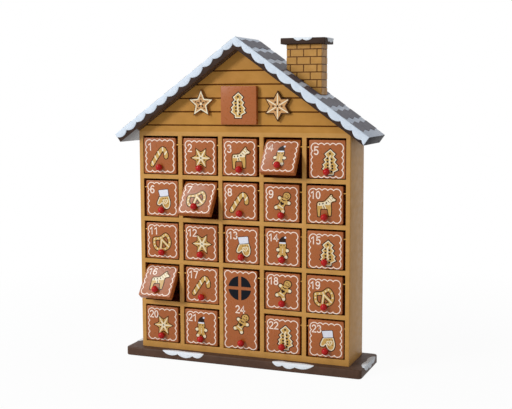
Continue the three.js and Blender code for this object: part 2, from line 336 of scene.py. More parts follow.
def smooth(points, closed=False, steps=4):
    """A rounded line through the points."""
    count = len(points)
    line = []
    for i in range(count if closed else count - 1):
        if closed:
            a, b, c, d = (points[(i + k) % count] for k in (-1, 0, 1, 2))
        else:
            a, b, c, d = (points[min(max(i + k, 0), count - 1)] for k in (-1, 0, 1, 2))
        for step in range(steps):
            t = step / steps
            line.append(tuple(
                0.5 * (2 * q + (r - p) * t + (2 * p - 5 * q + 4 * r - s) * t * t
                       + (3 * q - p - 3 * r + s) * t ** 3)
                for p, q, r, s in zip(a, b, c, d)))
    if not closed:
        line.append(points[-1])
    return line


def placed(points, at=(0, 0), turn=0):
    """The points turned by an angle in degrees and moved."""
    c = cos(radians(turn))
    s = sin(radians(turn))
    return [(at[0] + c * x - s * y, at[1] + s * x + c * y) for x, y in points]


def clipped(points, line_point, line_normal):
    """The part of a polygon on the side of a line that its normal points to."""
    def depth(point):
        return sum((point[k] - line_point[k]) * line_normal[k] for k in (0, 1))

    kept = []
    for a, b in zip(points, points[1:] + points[:1]):
        da, db = depth(a), depth(b)
        if da >= 0:
            kept.append(a)
        if da * db < 0:
            t = da / (da - db)
            kept.append((a[0] + t * (b[0] - a[0]), a[1] + t * (b[1] - a[1])))
    return kept


def heading(a, b):
    length = hypot(b[0] - a[0], b[1] - a[1])
    return (b[0] - a[0]) / length, (b[1] - a[1]) / length


def sides_of(points, half, closed):
    """The two lines that run beside a line at half its width, with mitred corners."""
    left, right = [], []
    count = len(points)
    for i, (x, y) in enumerate(points):
        way_in = heading(points[i - 1], points[i]) if closed or i else heading(points[0], points[1])
        last = not closed and i == count - 1
        way_out = way_in if last else heading(points[i], points[(i + 1) % count])
        dx, dy = way_in[0] + way_out[0], way_in[1] + way_out[1]
        reach = 2 * half / max(dx * dx + dy * dy, 1)
        left.append((x - dy * reach, y + dx * reach))
        right.append((x + dy * reach, y - dx * reach))
    return left, right


def inset(points, distance):
    if signed_area(points) < 0:
        points = points[::-1]
    return sides_of(points, distance, True)[0]


def ring(mesh, face, outline, proud):
    """New vertices along an outline, this far in front of a face."""
    return [mesh.verts.new(face @ Vector((across, up, proud))) for across, up in outline]


def skin(mesh, rings, index=0):
    """New faces from each ring of vertices to the next."""
    for below, above in zip(rings, rings[1:]):
        for i in range(len(below)):
            j = (i + 1) % len(below)
            mesh.faces.new((below[i], below[j], above[j], above[i])).material_index = index


class Relief:
    """Plates and strokes on one face, each a hair prouder than the one before it."""

    def __init__(self, face):
        self.home = face
        self.face = face
        self.mesh = bmesh.new()
        self.materials = []
        self.height = FIRST_LAYER

    def move_to(self, across, up):
        """From here on, draw about this point of the face."""
        self.face = self.home @ Matrix.Translation((across, up, 0))

    def prism(self, points, loops, look, height=None):
        """A plate made of loops over the points, from its sunk foot up to its height."""
        if height is None:
            self.height += LAYER_STEP
            height = self.height
        if LOOKS[look] not in self.materials:
            self.materials.append(LOOKS[look])
        index = self.materials.index(LOOKS[look])
        top = ring(self.mesh, self.face, points, height)
        foot = ring(self.mesh, self.face, points, -SINK)
        edges = set()
        faces = []
        for loop in loops:
            faces.append([top[i] for i in loop])
            faces.append([foot[i] for i in reversed(loop)])
            edges.update(zip(loop, loop[1:] + loop[:1]))
        for a, b in sorted(edges):
            if (b, a) not in edges:
                faces.append([top[b], top[a], foot[a], foot[b]])
        for corners in faces:
            self.mesh.faces.new(corners).material_index = index

    def plate(self, points, look, height=None):
        if signed_area(points) < 0:
            points = points[::-1]
        self.prism(points, [list(range(len(points)))], look, height)

    def stroke(self, points, width, look, closed=False):
        """A line of even width, with round ends where it isn't closed."""
        left, right = sides_of(points, width / 2, closed)
        count = len(points)
        loops = []
        for i in range(count if closed else count - 1):
            j = (i + 1) % count
            loops.append([count + i, count + j, j, i])
        corners = left + right
        if not closed:
            for end in (0, count - 1):
                a, b = (left[end], right[end]) if end == 0 else (right[end], left[end])
                start = atan2(a[1] - points[end][1], a[0] - points[end][0])
                first = len(corners)
                corners += [
                    (points[end][0] + width / 2 * cos(start + turn * pi / 6),
                     points[end][1] + width / 2 * sin(start + turn * pi / 6))
                    for turn in range(1, 6)
                ]
                ends = (end, count + end) if end == 0 else (count + end, end)
                loops.append([ends[0]] + list(range(first, first + 5)) + [ends[1]])
        self.prism(corners, loops, look)

    def strokes(self, lines, width, look):
        for line in lines:
            self.stroke(line, width, look)

    def dots(self, centres, radius, look):
        for centre in centres:
            self.plate(oval(centre, radius, steps=10), look)

    def finish(self, name, body="house"):
        finish_piece(name, self.mesh, self.materials, body)


# The printed biscuits

# Each is drawn about its own middle. A dark line of this width goes all round it.
CRUST = 1.1
# Width of the piped line of the borders
PIPING = 1.15

CANE = [(-10.2, -10.2), (-6.8, -4.9), (-3.3, 0.1), (0, 4.8), (2.5, 8.2), (4.8, 9.8), (7.0, 9.2),
        (8.8, 6.4), (9.8, 3.2), (9.6, 0.2)]
CANE_STRIPES = [((-9.8, -6.4), (-8.7, -9.8)), ((-5.9, 0.6), (-3.9, -3.3)), ((-1.5, 6.3), (0.2, 2.4)),
                ((4.9, 11.6), (5.2, 7.9)), ((10.4, 6.6), (8.0, 3.3))]
CANE_WIDTH = 4.9

HORSE = [(11.6, 7.6), (11.1, 5.6), (8, 5.0), (6, 3.8), (5.6, 0.5), (6.0, -3.5), (5.8, -12), (3.3, -12.4),
         (2.2, -8), (1.7, -4.6), (0.5, -4.1), (-6.4, -4.1), (-7.6, -5.2), (-8.2, -13.6), (-10.4, -13.4),
         (-11.0, -7.5), (-11.4, -1), (-11.2, 2.2), (-9.9, 3.7), (-4, 4.0), (-1.5, 5), (1.5, 8.3),
         (4, 11), (5.7, 13), (6.8, 12.8), (7.5, 10.5), (9.4, 8.8)]
HORSE_ICING = [(11.2, 7.3), (10.8, 5.9), (7.8, 5.4), (5.6, 4.0), (5.2, 1.4), (2.2, 0.4), (-1, 0.9),
               (-5, -0.6), (-10.9, -0.6), (-10.7, 2), (-9.5, 3.3), (-3.8, 3.6), (-1.2, 4.7), (1.9, 8.0),
               (4.3, 10.7), (5.8, 12.5), (6.5, 12.3), (7.1, 10), (9.2, 8.4)]

TREE = [(0, 15.4), (6.5, 9.6), (4.0, 6.5), (7.7, 3.0), (5.4, 0.1), (9.3, -4.0), (7.6, -5.9),
        (9.8, -9.0), (4.2, -12.0), (3.9, -15.5), (-4.5, -15.5), (-4.7, -12.2), (-10.1, -8.1),
        (-8.0, -5.6), (-9.7, -3.0), (-6.2, 0.1), (-8.4, 3.0), (-4.8, 6.4), (-7.2, 9.6)]
TREE_GARLAND = [(0.4, 7.4), (-1.2, 5.6), (-0.3, 1.8), (-1.3, 0), (-0.2, -2.6), (-1.2, -5), (0.2, -7.4),
                (-1.2, -9.2), (-0.6, -11.4)]
TREE_DOTS = [(-0.6, 10.1), (-3.6, 4.4), (1.5, 3.6), (-3.4, 0.6), (1.6, -0.6), (-3.3, -3.6), (2.4, -4.4),
             (-3.2, -7.2), (2.5, -7.6), (1.5, -11.2)]

MITTEN = [(-5.6, 4.2), (-7.6, 1), (-9, -2), (-9.6, -4.6), (-8.4, -6.3), (-5.6, -6.5), (-3.1, -4.5),
          (-2.2, -4.0), (-1.5, -6.5), (0.6, -9.6), (4, -11), (7, -9.5), (8.7, -6), (9, -2), (7.9, 2.5),
          (6.2, 5.8), (0.5, 5.4)]
MITTEN_DOTS = [(-2.2, -1.8), (5.9, 2.2), (6.0, -4.0), (1.4, -6.4), (-1.0, 2.2), (2.2, 2.6)]
CUFF = [(-7.4, 12.1), (-6.8, 12.7), (5.0, 14.1), (5.8, 13.5), (6.6, 6.6), (6.0, 6.0), (-4.8, 4.6),
        (-5.5, 5.1)]

PRETZEL_RING = [(5.2, 10.4), (8.9, 6.4), (10.4, 0.6), (8.7, -4.8), (4, -8.1), (-1.5, -8.8), (-7.2, -8.5),
                (-10.7, -4.8), (-11.4, -0.3), (-11.2, 4.1), (-6.2, 4.9), (-1.8, 6.0), (1.5, 8.3)]
PRETZEL_ARMS = [((-1.0, 4.2), (-2.6, -7.8)), ((-1.0, 4.2), (8.2, -4.4))]
PRETZEL_WIDTH = 3.5

HAT = [(-4.1, 10.4), (-3.5, 13.2), (-1.8, 15.4), (0.7, 16.9), (2.7, 17.3), (3.4, 16), (3.2, 13.2),
       (3.9, 10.4)]

# Strokes of a figure: two ends and a width
STANDING_LIMBS = [((-1.4, -2), (-4.7, -6.9), 4.2), ((1.2, -2), (4.2, -7.4), 4.2),
                  ((-1, 1.8), (-5.8, 0.9), 4.0), ((1, 1.8), (5.8, 0.4), 4.0), ((0, 2.4), (0, -2.6), 5.8)]
STANDING_TIPS = [(-5.0, -7.2), (4.5, -7.8), (-6.2, 0.8), (6.2, 0.3)]
LEANING_LIMBS = [((-3.4, -3), (-8.4, -4.8), 4.6), ((-2, -4.4), (-0.1, -9.3), 4.6),
                 ((0.6, 3.4), (-3.9, 6.8), 4.4), ((1.6, 1.8), (7.6, 0.8), 4.4),
                 ((1.7, 3.9), (-2.4, -3.4), 7.4)]
LEANING_TIPS = [(-8.9, -5.0), (0, -9.8), (-4.3, 7.0), (8.1, 0.8)]
LEANING_HEAD = (5.2, 9.3)


def star_outline(points, outer, inner, turn=90):
    outline = []
    for step in range(2 * points):
        angle = radians(turn + 180 * step / points)
        radius = inner if step % 2 else outer
        outline.append((radius * cos(angle), radius * sin(angle)))
    return outline


def heart(size):
    return [(16 * sin(t) ** 3 * size / 32,
             (13 * cos(t) - 5 * cos(2 * t) - 2 * cos(3 * t) - cos(4 * t)) * size / 32)
            for t in (2 * pi * k / 20 for k in range(20))]


def outlined(relief, shape, edge=0, line="crust"):
    """A biscuit over its dark outline, with an iced edge where it has one."""
    relief.stroke(shape, 2 * CRUST, line, closed=True)
    if edge:
        relief.plate(shape, "icing")
        relief.plate(inset(shape, edge), "biscuit")
    else:
        relief.plate(shape, "biscuit")


def draw_cane(relief):
    line = smooth(CANE)
    relief.stroke(line, CANE_WIDTH + 2 * CRUST, "crust")
    relief.stroke(line, CANE_WIDTH, "biscuit")
    relief.strokes(CANE_STRIPES, 1.9, "icing")


def draw_star(relief):
    outlined(relief, star_outline(6, 13.0, 6.9, 0))
    for turn in range(0, 360, 60):
        relief.plate(placed([(0, 1.2), (0, -1.2), (11.8, -0.4), (11.8, 0.4)], turn=turn), "icing")
    relief.dots(placed(oval((0, 0), 5.2, steps=6), turn=30), 0.9, "chocolate")
    relief.dots([(0, 0)], 1.8, "icing")
    relief.dots([(0, 0)], 1.0, "chocolate")


def draw_horse(relief):
    outlined(relief, HORSE)
    relief.plate(HORSE_ICING, "icing")
    relief.strokes([((-4.8, 0.8), (-4.0, -3.7)), ((-3.0, 0.8), (-0.9, -3.4))], 1.2, "icing")
    relief.stroke([(-3.3, -0.6), (-2.7, -3.2)], 0.8, "chocolate")
    relief.stroke([(3.4, 8.8), (6.2, 6.4)], 0.9, "biscuit")
    relief.stroke([(1.2, 6.0), (4.6, 3.2)], 0.7, "biscuit")
    relief.dots([(-8.6, 1.4), (-4.3, 2.0), (0, 3.0)], 1.0, "chocolate")
    relief.dots([(7.4, 8.3), (5.9, 10.8), (2.6, 5.0)], 0.5, "chocolate")


def draw_tree(relief):
    outlined(relief, TREE, 1.2, "chocolate")
    relief.stroke(TREE_GARLAND, 1.6, "icing")
    relief.dots(TREE_DOTS, 1.3, "chocolate")


def draw_mitten(relief):
    outlined(relief, smooth(MITTEN, closed=True, steps=3), 1.3)
    relief.stroke(CUFF, 1.4, "crust", closed=True)
    relief.plate(CUFF, "lilac")
    relief.stroke(placed(heart(6.6), (2.2, -1.6), 10), 1.2, "icing", closed=True)
    relief.dots(MITTEN_DOTS, 0.6, "crust")
    relief.dots([(2.2, -1.4)], 0.8, "icing")


def draw_pretzel(relief):
    loop = smooth(PRETZEL_RING, closed=True, steps=3)
    for width, look in ((PRETZEL_WIDTH + 2 * CRUST, "crust"), (PRETZEL_WIDTH, "biscuit")):
        relief.strokes(PRETZEL_ARMS, width, look)
        relief.stroke(loop, width, look, closed=True)
    relief.strokes(PRETZEL_ARMS, 1.1, "icing")
    relief.dots(loop[::3], 0.95, "icing")


def draw_figure(relief, limbs, tips, head):
    """A plain gingerbread figure: limbs and head over one crust line, with iced hands and feet."""
    for margin, look in ((2 * CRUST, "crust"), (0, "biscuit")):
        for a, b, width in limbs:
            relief.stroke([a, b], width + margin, look)
        relief.plate(oval(head, 4.5 + margin / 2, 4.3 + margin / 2), look)
    relief.dots(tips, 2.0, "icing")


def draw_standing_man(relief):
    relief.stroke(HAT, 1.3, "crust", closed=True)
    draw_figure(relief, STANDING_LIMBS, STANDING_TIPS, (0, 6.4))
    relief.plate(HAT, "chocolate")
    relief.stroke([(-3.5, 9.5), (3.3, 9.5)], 1.9, "lilac")
    relief.dots([(3.5, 16.4)], 1.35, "lilac")
    relief.dots([(-2, 6.7), (1.9, 6.8)], 0.75, "chocolate")
    relief.dots([(0.1, 1.8), (0.1, -0.3), (0.1, -2.4)], 0.65, "icing")


def draw_leaning_man(relief):
    draw_figure(relief, LEANING_LIMBS, LEANING_TIPS, LEANING_HEAD)
    relief.stroke([(-0.8, 5.4), (0.9, 3.8), (3.4, 3.6)], 1.1, "chocolate")
    relief.plate(placed(heart(5.4), (-1.1, 0.1), -28), "chocolate")
    relief.stroke([(-5.0, -1.9), (0.4, -5.4)], 1.2, "icing")
    relief.stroke(arc(LEANING_HEAD, 2.8, 2.8, 200, 330, 6), 0.7, "crust")
    relief.dots(placed([(-0.9, 1.9), (1.4, 0.4)], LEANING_HEAD), 0.65, "chocolate")


# How each picture is drawn, and where it sits from the print's middle
PICTURES = {
    "cane": (draw_cane, (-0.9, -1.1)),
    "star": (draw_star, (1.7, -1.0)),
    "horse": (draw_horse, (1.9, 0.5)),
    "hat": (draw_standing_man, (0.3, -3.0)),
    "tree": (draw_tree, (4.0, -1.9)),
    "mitten": (draw_mitten, (2.6, -2.2)),
    "pretzel": (draw_pretzel, (0, -2.1)),
    "man": (draw_leaning_man, (1.6, 0.3)),
}
# What each door shows, in the order of the numbers, and how far its print sits above its middle
DOOR_PICTURES = ["cane", "star", "horse", "hat", "tree", "mitten", "pretzel", "cane", "man", "horse",
                 "pretzel", "star", "mitten", "hat", "tree", "horse", "cane", "man", "pretzel", "star",
                 "hat", "tree", "mitten", "man"]
PRINT_RISE = [-0.2, -0.8, -0.9, -0.8, -1.4, 0, -0.9, -0.1, -0.7, -1, -0.2, -0.2, -0.7, -0.7, -1.4, -0.7,
              0.8, 0.1, -1.7, -0.3, -0.4, -1.3, -0.7, -0.2]


# Each digit's lines and whether they are closed, in a box one high and about 0.6 wide
TWO = arc((0.3, 0.68), 0.22, 0.25, 160, -30, 8) + [(0.08, 0.07), (0.54, 0.07)]
THREE = arc((0.28, 0.71), 0.2, 0.22, 150, -80, 8) + arc((0.28, 0.29), 0.24, 0.23, 80, -150, 8)
FIVE = [(0.5, 0.93), (0.15, 0.93), (0.1, 0.52)] + arc((0.29, 0.33), 0.23, 0.27, 125, -145, 9)
SIX = [(arc((0.34, 0.45), 0.27, 0.48, 55, 180, 7), False), (oval((0.3, 0.31), 0.23, 0.25, 14), True)]
DIGITS = {
    "0": [(oval((0.3, 0.5), 0.22, 0.43, 20), True)],
    "1": [([(0.1, 0.72), (0.22, 0.8), (0.34, 0.93), (0.34, 0.07)], False)],
    "2": [(TWO, False)],
    "3": [(THREE, False)],
    "4": [([(0.43, 0.07), (0.43, 0.93), (0.04, 0.32), (0.58, 0.32)], False)],
    "5": [(FIVE, False)],
    "6": SIX,
    "7": [([(0.06, 0.93), (0.54, 0.93), (0.24, 0.07)], False)],
    "8": [(oval((0.3, 0.71), 0.19, 0.21, 14), True), (oval((0.3, 0.29), 0.23, 0.23, 14), True)],
    "9": [([(0.6 - x, 1 - y) for x, y in line], closed) for line, closed in SIX],
}


def draw_number(relief, number, left, foot, high):
    """The number from its lower left corner, in strokes of even width."""
    for place, digit in enumerate(str(number)):
        for line, closed in DIGITS[digit]:
            points = [(left + place * 0.65 * high + x * high, foot + y * high) for x, y in line]
            relief.stroke(points, 1.5, "piping", closed)


def corner_lobe(start, end, centre, radius, steps=12):
    """Points from start towards end on a bow round a centre, a whole radius away from it half way."""
    first = atan2(start[1] - centre[1], start[0] - centre[0])
    last = atan2(end[1] - centre[1], end[0] - centre[0])
    if first > 0:
        first -= 2 * pi
    first_radius = hypot(start[0] - centre[0], start[1] - centre[1])
    last_radius = hypot(end[0] - centre[0], end[1] - centre[1])
    points = []
    for step in range(steps):
        t = step / steps
        angle = first + (last - first) * t
        full = sin(pi * t) ** 0.5
        reach = (first_radius * (1 - t) + last_radius * t) * (1 - full) + radius * full
        points.append((centre[0] + reach * cos(angle), centre[1] + reach * sin(angle)))
    return points


def lobed_border(half_wide, half_high, across, up, bulge, corner):
    """A closed icing line of lobes that bulge outward, with a wider lobe round each corner.

    Half its width and height reach to its cusps. Across and up say into how many lobes a side would
    divide if its corners had none of their own.
    """
    wide = (half_wide, half_wide * (across - 2) / across, across - 2)
    high = (half_high, half_high * (up - 2) / up, up - 2)
    line = []
    for turn, along, beside in ((0, wide, high), (90, high, wide), (180, wide, high), (270, high, wide)):
        _, reach, lobes = along
        offset = beside[0]
        side = []
        for lobe in range(lobes):
            for step in range(6):
                t = step / 6
                place = -reach + 2 * reach * (lobe + t) / lobes
                side.append((place, -offset - bulge * sin(pi * t)))
        centre = (along[0] + bulge - corner, -offset - bulge + corner)
        side += corner_lobe((reach, -offset), (along[0], -beside[1]), centre, corner)
        line += placed(side, (0, 0), turn)
    return line


# Doors and knobs


def door_frames():
    """Each door's number, height and body, how far it sits to the right, and its place at its pivot."""
    small = span("door_01")
    tall = span(f"door_{TALL_DOOR}")
    doors = []
    for joint in frame["joints"]:
        number = int(joint["name"][-2:])
        low, high = tall if number == TALL_DOOR else small
        turned = Matrix.Rotation(radians(joint["range_deg"][0]), 4, "X")
        pivot = Vector(joint["pos_m"])
        knob_low, knob_high = span(f"knob_{number:02d}")
        play = (knob_low.x + knob_high.x) / 2 - pivot.x / MM
        if number == TALL_DOOR:
            play -= TALL_KNOB_SHIFT
        doors.append((number, high.z - low.z, joint["child"], play, Matrix.Translation(pivot) @ turned))
    return doors


def rounded_outline(width, height, radius, steps=5):
    x = width / 2 - radius
    y = height / 2 - radius
    points = []
    for centre, start in (((x, -y), -90), ((x, y), 0), ((-x, y), 90), ((-x, -y), 180)):
        points += arc(centre, radius, radius, start, start + 90, steps)
    return points


def add_slab(mesh, face, width, height, thickness, corner, edge, edge_steps=4):
    """A board behind a face, with rounded corners and rounded edges front and back."""
    levels = []
    for step in range(edge_steps + 1):
        angle = pi / 2 * step / edge_steps
        levels.append((edge * (1 - sin(angle)), edge * (1 - cos(angle)) - thickness))
    levels += [(shrink, -level - thickness) for shrink, level in reversed(levels)]
    rings = []
    for shrink, level in levels:
        outline = rounded_outline(width - 2 * shrink, height - 2 * shrink, max(corner - shrink, 0.05))
        rings.append(ring(mesh, face, outline, level))
    skin(mesh, rings)
    mesh.faces.new(rings[-1])
    mesh.faces.new(rings[0][::-1])


def add_rod(mesh, face, centre, radius, start, end, index):
    """A rod across a face, at a place (up, proud), between two places across."""
    rings = [
        [mesh.verts.new(face @ Vector((across, up, proud))) for up, proud in oval(centre, radius)]
        for across in (start, end)
    ]
    skin(mesh, rings, index)
    mesh.faces.new(rings[0][::-1]).material_index = index
    mesh.faces.new(rings[1]).material_index = index


def add_knob(number, face, across, foot, body):
    mesh = bmesh.new()
    centre = (across, foot + KNOB_RISE)
    start = pi - acos(KNOB_CENTRE / KNOB_RADIUS)
    rings = []
    for step in range(KNOB_RINGS):
        angle = start * (1 - step / KNOB_RINGS)
        outline = oval(centre, KNOB_RADIUS * sin(angle), steps=KNOB_SIDES)
        rings.append(ring(mesh, face, outline, KNOB_CENTRE + KNOB_RADIUS * cos(angle)))
    skin(mesh, rings)
    tip = mesh.verts.new(face @ Vector((*centre, KNOB_CENTRE + KNOB_RADIUS)))
    for i in range(KNOB_SIDES):
        mesh.faces.new((rings[-1][i], rings[-1][(i + 1) % KNOB_SIDES], tip))
    mesh.faces.new(rings[0][::-1])
    finish_piece(f"knob_{number:02d}_bead", mesh, [LOOKS["lacquer"]], body,
                 [f"knob_{number:02d}"])


def add_door(number, height, body, play, place):
    middle = PIN_DROP - height / 2
    face = place @ front_face(play, -PIN_DEPTH, middle)
    slab = bmesh.new()
    add_slab(slab, face, DOOR_WIDTH, height, DOOR_THICKNESS, DOOR_CORNER, DOOR_EDGE)
    for side in (-1, 1):
        start, end = sorted((side * (DOOR_WIDTH / 2 - 1), side * PIN_REACH - play))
        add_rod(slab, face, (-middle, -PIN_DEPTH), PIN_RADIUS, start, end, 1)
    finish_piece(f"door_{number:02d}_slab", slab, [LOOKS["terracotta"], LOOKS["brass"]], body,
                 [f"door_{number:02d}"])
    relief = Relief(face @ Matrix.Translation((0, PRINT_RISE[number - 1], 0)))
    if number == TALL_DOOR:
        draw_tall_door(relief)
    else:
        draw_small_door(relief, number)
    relief.finish(f"door_{number:02d}_print", body)
    add_knob(number, face, TALL_KNOB_SHIFT if number == TALL_DOOR else 0, -height / 2, body)


def draw_small_door(relief, number):
    border = lobed_border(half_wide=18.2, half_high=18.65, across=5, up=5, bulge=1.9, corner=5.6)
    relief.stroke(border, PIPING, "piping", closed=True)
    draw, at = PICTURES[DOOR_PICTURES[number - 1]]
    relief.move_to(*at)
    draw(relief)
    relief.move_to(0, 0)
    if number < 10:
        draw_number(relief, number, left=-16.7, foot=6.3, high=10.4)
    else:
        draw_number(relief, number, left=-17.9, foot=7.8, high=10)


def draw_tall_door(relief):
    """A round window of four dark panes over the number and a picture."""
    border = lobed_border(half_wide=18.9, half_high=46.9, across=5, up=11, bulge=2.1, corner=3.4)
    relief.stroke(border, PIPING, "piping", closed=True)
    pane = [(2.0, 2.0), (15.1, 2.0)] + arc((0, 0), 15.3, 15.3, 8, 82, 10) + [(2.0, 15.1)]
    for turn in range(0, 360, 90):
        relief.plate(placed(pane, (-0.8, 27.7), turn), "night")
    draw_number(relief, TALL_DOOR, left=-6.9, foot=-4.4, high=10.4)
    relief.move_to(1.4, -18.8)
    draw_leaning_man(relief)


# The house


def rounded_copy(node, chosen, materials, look_of=None, width=BOARD_EDGE, steps=2):
    """A copy of a node's solid with chosen edges rounded. Chosen takes the edge's two ends."""
    mesh = bmesh.new()
    mesh.from_mesh(frame["nodes"][node].data)
    bmesh.ops.remove_doubles(mesh, verts=mesh.verts, dist=WELD_METRES)
    bmesh.ops.dissolve_limit(mesh, angle_limit=FLAT_ANGLE, verts=mesh.verts, edges=mesh.edges)
    edges = []
    for edge in mesh.edges:
        if len(edge.link_faces) == 2 and edge.calc_face_angle(0) > CORNER_ANGLE:
            if chosen(*(v.co / MM for v in edge.verts)):
                edges.append(edge)
    bmesh.ops.bevel(mesh, geom=edges, offset=width * MM, segments=steps, profile=0.5,
                    affect="EDGES", clamp_overlap=True)
    mesh.normal_update()
    for face in mesh.faces:
        face.material_index = look_of(face) if look_of else 0
    return finish_piece(f"{node}_rounded", mesh, [LOOKS[look] for look in materials], "house",
                        [node])


def add_boards():
    wall_inner = WALL_OUTER - BOARD

    def front_rim(a, b):
        beside_wall = min(abs(abs(end.x) - wall_inner) for end in (a, b)) < NEAR_PLANE
        return max(a.y, b.y) < FRONT_Y + NEAR_PLANE and not beside_wall

    rounded_copy("compartment_grid", front_rim, ["tan_front"])
    for node, side in (("left_wall", -1), ("right_wall", 1)):
        outer = WALL_OUTER * side

        def upright_corner(a, b, outer=outer):
            return all(abs(end.x - outer) < NEAR_PLANE for end in (a, b)) and abs(a.z - b.z) > UPRIGHT

        def look_of(face, outer=outer):
            return int(abs(face.calc_center_median().x / MM - outer) > BOARD - 0.1)

        rounded_copy(node, upright_corner, ["tan", "tan_front"], look_of, WALL_EDGE, 3)
    for node, look in (("back_panel", "panel"), ("gable_board", "tan_grooved")):
        set_look(node, look)


def set_look(node, look):
    data = frame["nodes"][node].data
    for index in range(len(data.materials)):
        data.materials[index] = LOOKS[look]


def add_slab_piece(node, look, corner=1.5, edge=0.8, lying=True):
    """A rounded board in place of a node's solid. Its face is the top, or the front if not lying."""
    low, high = span(node)
    size = high - low
    middle = (low + high) / 2
    face = front_face(middle.x, low.y, middle.z)
    sides = (size.x, size.z, size.y)
    if lying:
        face = face_at((middle.x, middle.y, high.z), (1, 0, 0), (0, 1, 0))
        sides = (size.x, size.y, size.z)
    mesh = bmesh.new()
    add_slab(mesh, face, *sides, corner, edge)
    finish_piece(f"{node}_rounded", mesh, [LOOKS[look]], "house", [node])
    return face


def add_plates():
    add_slab_piece("base_plate", "base_brown", corner=5, edge=1.6)
    add_slab_piece("chimney_cap", "brown")
    relief = Relief(add_slab_piece("gable_tile", "terracotta", lying=False))
    relief.move_to(0, 0.3)
    draw_tree(relief)
    relief.finish("gable_tile_print")


def add_stars():
    set_look("star_five", "pale_side")
    set_look("star_six", "dark_side")
    front = span("star_five")[0].y
    relief = Relief(front_face(STAR_FIVE_AT[0], front, STAR_FIVE_AT[1]))
    for outer, inner, look in ((17.9, 8.35, "crust"), (16.3, 7.4, "icing"), (12.7, 5.7, "star_biscuit")):
        relief.plate(star_outline(5, outer, inner), look)
    for turn in range(90, 90 + 360, 360 // 5):
        relief.stroke(placed([(2.7, 0), (4.3, 0)], turn=turn), 1.7, "chocolate")
        relief.dots(placed([(7.4, 0)], turn=turn), 0.85, "chocolate")
    relief.dots([(0, 0)], 1.5, "icing")
    relief.finish("star_five_icing")
    relief = Relief(front_face(STAR_SIX_AT[0], front, STAR_SIX_AT[1]))
    for outer, inner, look in ((18.4, 10.65, "crust"), (16.4, 9.2, "star_biscuit")):
        relief.plate(star_outline(6, outer, inner), look)
    rib = [(1.6, 0.4), (1.6, -0.4), (6, -0.7), (14.6, -0.6), (16, 0), (14.6, 0.6), (6, 0.7)]
    for turn in range(0, 360, 360 // 6):
        relief.plate(placed(rib, turn=90 + turn), "icing")
        relief.dots(placed([(5.6, 0)], turn=turn), 1.15, "chocolate")
    relief.dots([(0, 0)], 1.2, "chocolate")
    relief.finish("star_six_icing")


# Rows of dark slates on each slope
SLATE_ROWS = 8
SLATE_PITCH = 24.3
SLATE_HIGH = 16
# From the eave up to the lowest row
SLATE_FIRST = 10.4
SLATE_PROUD = 0.35
# A row's teeth begin this far behind the roof's front edge. Each climbs for a share of its length, and
# falls back in the rest of it.
TEETH = 3
TEETH_BEGIN = 5
TOOTH_CLIMB = 3.8
CLIMB_SHARE = 0.75


def roof_frame(side):
    """The face of one slope's top, from the ridge's front end: across to the back, up to the ridge."""
    low, high = span("roof")
    down = (side * cos(ROOF_SLOPE), 0, -sin(ROOF_SLOPE))
    up = tuple(-k for k in down)
    across = (0, side, 0)
    return face_at((0, low.y if side > 0 else high.y, high.z), across, up), high.y - low.y


def slate_row(deep, side, lower):
    """Outline of a row of slates, toothed above and below. Lower is how far its foot is from the ridge."""
    tooth = deep / TEETH
    edge = []
    for k in range(-1, TEETH + 1):
        start = TEETH_BEGIN + k * tooth
        edge += [(start, 0), (start + CLIMB_SHARE * tooth, TOOTH_CLIMB)]
    if side < 0:
        edge = [(deep - across, rise) for across, rise in edge]
    row = [(across, rise - lower + SLATE_HIGH) for across, rise in edge]
    row += [(across, rise - lower) for across, rise in reversed(edge)]
    return clipped(clipped(row, (0, 0), (1, 0)), (deep, 0), (-1, 0))


def add_roof():
    low, high = span("roof")
    length = high.x / cos(ROOF_SLOPE)

    def any_edge(a, b):
        return True

    def look_of(face):
        """Slope, front or back, underside, or end at the eave."""
        if face.normal.z > 0.5:
            return 0
        if face.normal.z < -0.7:
            return 2
        return 3 if abs(face.normal.x) > 0.6 else 1

    rounded_copy("roof", any_edge, ["frost", "brown", "soffit", "roof_end"], look_of)
    for side in (-1, 1):
        face, deep = roof_frame(side)
        relief = Relief(face)
        for row in range(SLATE_ROWS):
            lower = length - SLATE_FIRST - row * SLATE_PITCH
            relief.plate(slate_row(deep, side, lower), "slate", SLATE_PROUD)
        name = "right" if side > 0 else "left"
        relief.finish(f"roof_shingles_{name}")


# Where the snow's scallops meet on the roof's front edge: distance down the slope, and depth
LEFT_CUSPS = [(21.5, 4.2), (39, 4.4), (55.5, 4.4), (76.5, 5.2), (96, 4.8), (116, 5), (134, 5.5),
              (153.5, 4.2), (170.5, 5.4), (188, 5.4), (203.8, 5.6)]
RIGHT_CUSPS = [(13.5, 4.9), (29, 5), (50, 5.2), (69.5, 6), (91, 5.2), (107, 6.2), (129.5, 5.9),
               (147, 6), (166, 5.1), (183.5, 5.6), (199, 8)]
# The cusp below the ridge: x, and height over the ridge
RIDGE_CUSP = (-2.9, -8.6)
# How deep the snow hangs at the right eave, and a scallop's bulge as a share of its length
RIGHT_END_DEPTH = 11.6
SCALLOP_BULGE = 0.2
SNOW_PROUD = 0.75
SNOW_RIM = 0.9
# Snow hangs at least this far below its edge
SNOW_LEAST = 0.4


def scallop(a, b, bulge, steps=9):
    """Points from one cusp to the next on an arc that bulges to the right of the way between them."""
    dx, dy = b[0] - a[0], b[1] - a[1]
    length = hypot(dx, dy)
    points = []
    for step in range(steps):
        t = step / steps
        out = bulge * sin(pi * t) ** 0.8
        points.append((a[0] + dx * t + dy / length * out, a[1] + dy * t - dx / length * out))
    return points


